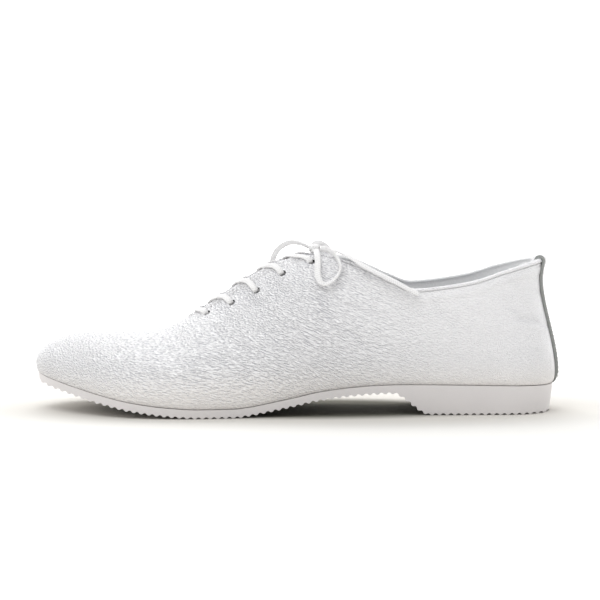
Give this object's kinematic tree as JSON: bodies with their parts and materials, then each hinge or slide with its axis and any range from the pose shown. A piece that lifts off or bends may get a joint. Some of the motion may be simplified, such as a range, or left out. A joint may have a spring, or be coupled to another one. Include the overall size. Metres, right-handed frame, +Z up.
{
  "type": "jazz shoe",
  "caption": "Low white leather jazz shoe for the left foot, laced over a tongue and tied in a bow, on a one-piece rippled rubber sole with a low heel.",
  "frame": {"origin": "on the floor, at the middle of the ripple crest that lies under the middle of the heel", "axes": "+X from the toe to the heel, +Z up from the floor, and so -Y to the wearer's left, the outer side of this left shoe"},
  "size_m": [0.251, 0.0859, 0.0807],
  "materials": {
    "white_leather": "soft grained white leather, half matt",
    "off_white_rubber": "matt moulded rubber, off white",
    "grey_lining": "grey napped lining",
    "white_lace": "flat woven cotton lace, white"
  },
  "bodies": {
    "root": {"outsole": "off_white_rubber", "insole": "grey_lining", "upper": "white_leather", "tongue": "white_leather", "collar_binding": "white_leather", "back_strap": "white_leather", "lace_bar": "white_lace", "lace_crossing_1": "white_lace", "lace_crossing_2": "white_lace", "lace_crossing_3": "white_lace", "lace_crossing_4": "white_lace", "lace_knot": "white_lace", "lace_loop_near": "white_lace", "lace_loop_far": "white_lace", "lace_end_near": "white_lace", "lace_end_far": "white_lace"}
  },
  "joints": []
}
